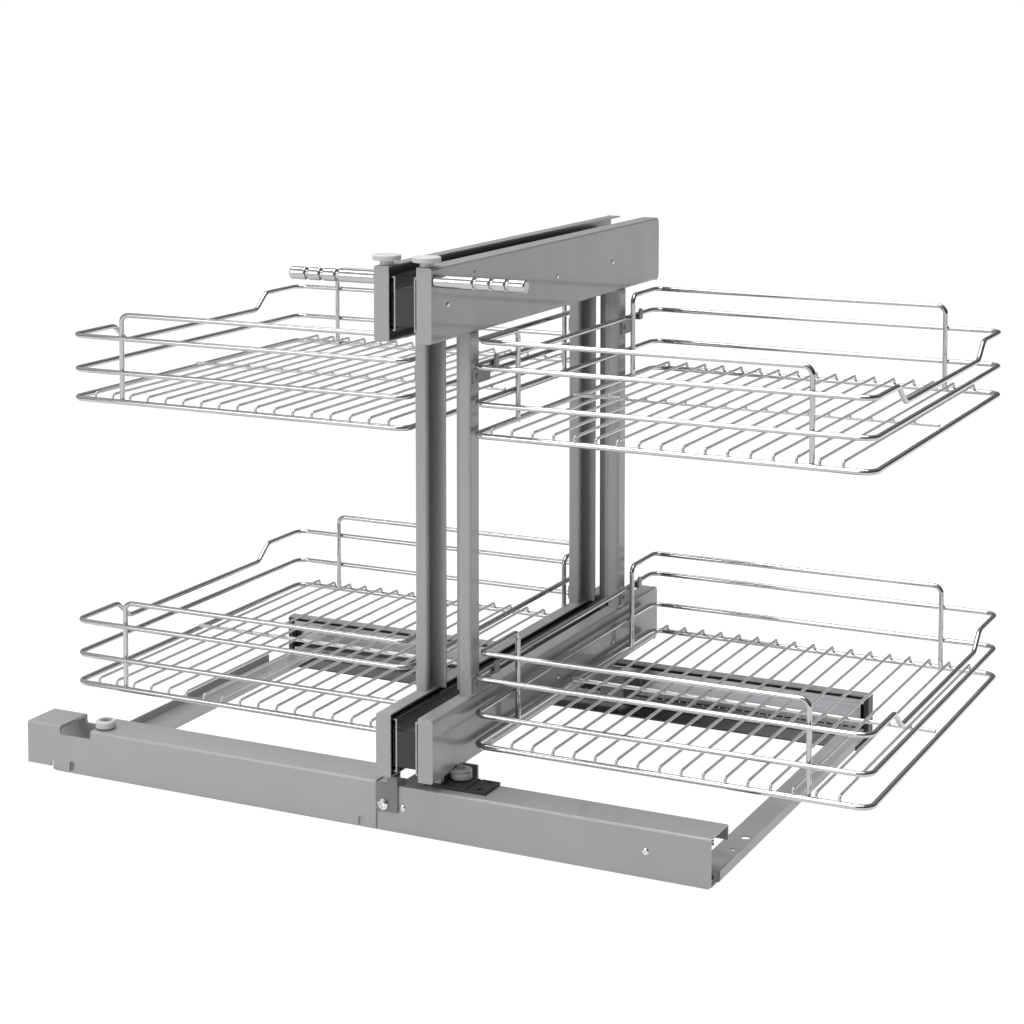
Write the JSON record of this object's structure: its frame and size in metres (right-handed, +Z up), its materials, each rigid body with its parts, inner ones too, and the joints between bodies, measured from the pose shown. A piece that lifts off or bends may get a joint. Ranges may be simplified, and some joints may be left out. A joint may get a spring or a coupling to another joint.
{
  "type": "pull-out corner cabinet basket unit",
  "caption": "Corner cabinet pull-out: low base with cross slides, a carriage that shifts sideways, and two back-to-back frames that pull forward, each with two wire baskets",
  "frame": {"origin": "under the middle of the bounding box, on the plane that the base stands on", "axes": "+X to the right of someone who faces the front, +Y to the back, +Z up"},
  "size_m": [0.8448, 0.53, 0.5304],
  "materials": {
    "grey_paint": "satin warm grey powder coat",
    "dark_steel": "satin dark grey paint",
    "zinc_steel": "bright zinc plate, rolled",
    "plated_fasteners": "bright nickel plate",
    "chrome_wire": "polished chrome plate on wire",
    "chrome_bar": "polished chrome plate",
    "white_nylon": "smooth off-white nylon",
    "black_plastic": "fine-grained black",
    "ball_cage": "black cage with steel balls"
  },
  "bodies": {
    "base": {"front_rail": "grey_paint", "rail_cover": "grey_paint", "cover_clip": "grey_paint", "base_screws": "plated_fasteners", "side_rail_left": "grey_paint", "side_rail_right": "grey_paint", "rear_rail": "grey_paint", "rear_caps": "black_plastic", "rail_rivets": "plated_fasteners", "front_slide_fixed": "zinc_steel", "rear_slide_fixed": "zinc_steel", "rest_pad": "black_plastic", "glide_block": "white_nylon"},
    "carriage": {"front_slide_runner": "zinc_steel", "rear_slide_runner": "zinc_steel", "front_carrier": "dark_steel", "rear_carrier": "dark_steel", "lower_beam": "zinc_steel", "upper_beam": "zinc_steel", "beam_plugs": "black_plastic", "carriage_upright": "dark_steel", "lower_tracks": "zinc_steel", "upper_tracks": "zinc_steel"},
    "front_ball_cage": {"front_cage": "ball_cage"},
    "rear_ball_cage": {"rear_cage": "ball_cage"},
    "left_frame": {"low_channel_left": "grey_paint", "top_channel_left": "grey_paint", "front_post_left": "grey_paint", "rear_post_left": "grey_paint", "runners_left": "zinc_steel", "rivets_left": "plated_fasteners", "handle_left": "chrome_bar", "roller_pins_left": "plated_fasteners", "hangers_left": "dark_steel", "rim_upper_left": "chrome_wire", "floor_upper_left": "chrome_wire", "rim_lower_left": "chrome_wire", "floor_lower_left": "chrome_wire"},
    "right_frame": {"low_channel_right": "grey_paint", "top_channel_right": "grey_paint", "front_post_right": "grey_paint", "rear_post_right": "grey_paint", "runners_right": "zinc_steel", "rivets_right": "plated_fasteners", "handle_right": "chrome_bar", "roller_pins_right": "plated_fasteners", "hangers_right": "dark_steel", "rim_upper_right": "chrome_wire", "floor_upper_right": "chrome_wire", "rim_lower_right": "chrome_wire", "floor_lower_right": "chrome_wire"},
    "slide_low_left": {"mid_low_left": "zinc_steel"},
    "slide_top_left": {"mid_top_left": "zinc_steel"},
    "foot_wheel_left": {"foot_roller_left": "white_nylon"},
    "top_wheel_left": {"top_roller_left": "white_nylon"},
    "slide_low_right": {"mid_low_right": "zinc_steel"},
    "slide_top_right": {"mid_top_right": "zinc_steel"},
    "foot_wheel_right": {"foot_roller_right": "white_nylon"},
    "top_wheel_right": {"top_roller_right": "white_nylon"},
    "cover_wheel": {"cover_roller": "white_nylon"}
  },
  "joints": [
    {"name": "carriage_shift", "type": "slide", "parent": "base", "child": "carriage", "axis": [1, 0, 0], "range_m": [-0.4068, 0]},
    {"name": "front_cage_roll", "type": "slide", "parent": "base", "child": "front_ball_cage", "axis": [1, 0, 0], "range_m": [-0.2034, 0]},
    {"name": "rear_cage_roll", "type": "slide", "parent": "base", "child": "rear_ball_cage", "axis": [1, 0, 0], "range_m": [-0.2034, 0]},
    {"name": "left_frame_pull", "type": "slide", "parent": "carriage", "child": "left_frame", "axis": [0, -1, 0], "range_m": [0, 0.48]},
    {"name": "low_left_extend", "type": "slide", "parent": "carriage", "child": "slide_low_left", "axis": [0, -1, 0], "range_m": [0, 0.24]},
    {"name": "top_left_extend", "type": "slide", "parent": "carriage", "child": "slide_top_left", "axis": [0, -1, 0], "range_m": [0, 0.24]},
    {"name": "foot_spin_left", "type": "hinge", "parent": "left_frame", "child": "foot_wheel_left", "pos_m": [-0.02637, -0.2135, 0.052], "axis": [0, 0, 1], "continuous": true},
    {"name": "top_spin_left", "type": "hinge", "parent": "left_frame", "child": "top_wheel_left", "pos_m": [-0.01257, -0.252, 0.526], "axis": [0, 0, 1], "continuous": true},
    {"name": "right_frame_pull", "type": "slide", "parent": "carriage", "child": "right_frame", "axis": [0, -1, 0], "range_m": [0, 0.48]},
    {"name": "low_right_extend", "type": "slide", "parent": "carriage", "child": "slide_low_right", "axis": [0, -1, 0], "range_m": [0, 0.24]},
    {"name": "top_right_extend", "type": "slide", "parent": "carriage", "child": "slide_top_right", "axis": [0, -1, 0], "range_m": [0, 0.24]},
    {"name": "foot_spin_right", "type": "hinge", "parent": "right_frame", "child": "foot_wheel_right", "pos_m": [0.04163, -0.2135, 0.052], "axis": [0, 0, 1], "continuous": true},
    {"name": "top_spin_right", "type": "hinge", "parent": "right_frame", "child": "top_wheel_right", "pos_m": [0.02782, -0.252, 0.526], "axis": [0, 0, 1], "continuous": true},
    {"name": "cover_spin", "type": "hinge", "parent": "base", "child": "cover_wheel", "pos_m": [-0.33887, -0.234, 0.051], "axis": [0, 0, 1], "continuous": true}
  ],
  "couplings": [
    {"joint": "front_cage_roll", "follows": "carriage_shift", "ratio": 0.5},
    {"joint": "rear_cage_roll", "follows": "carriage_shift", "ratio": 0.5},
    {"joint": "low_left_extend", "follows": "left_frame_pull", "ratio": 0.5},
    {"joint": "top_left_extend", "follows": "left_frame_pull", "ratio": 0.5},
    {"joint": "low_right_extend", "follows": "right_frame_pull", "ratio": 0.5},
    {"joint": "top_right_extend", "follows": "right_frame_pull", "ratio": 0.5}
  ]
}
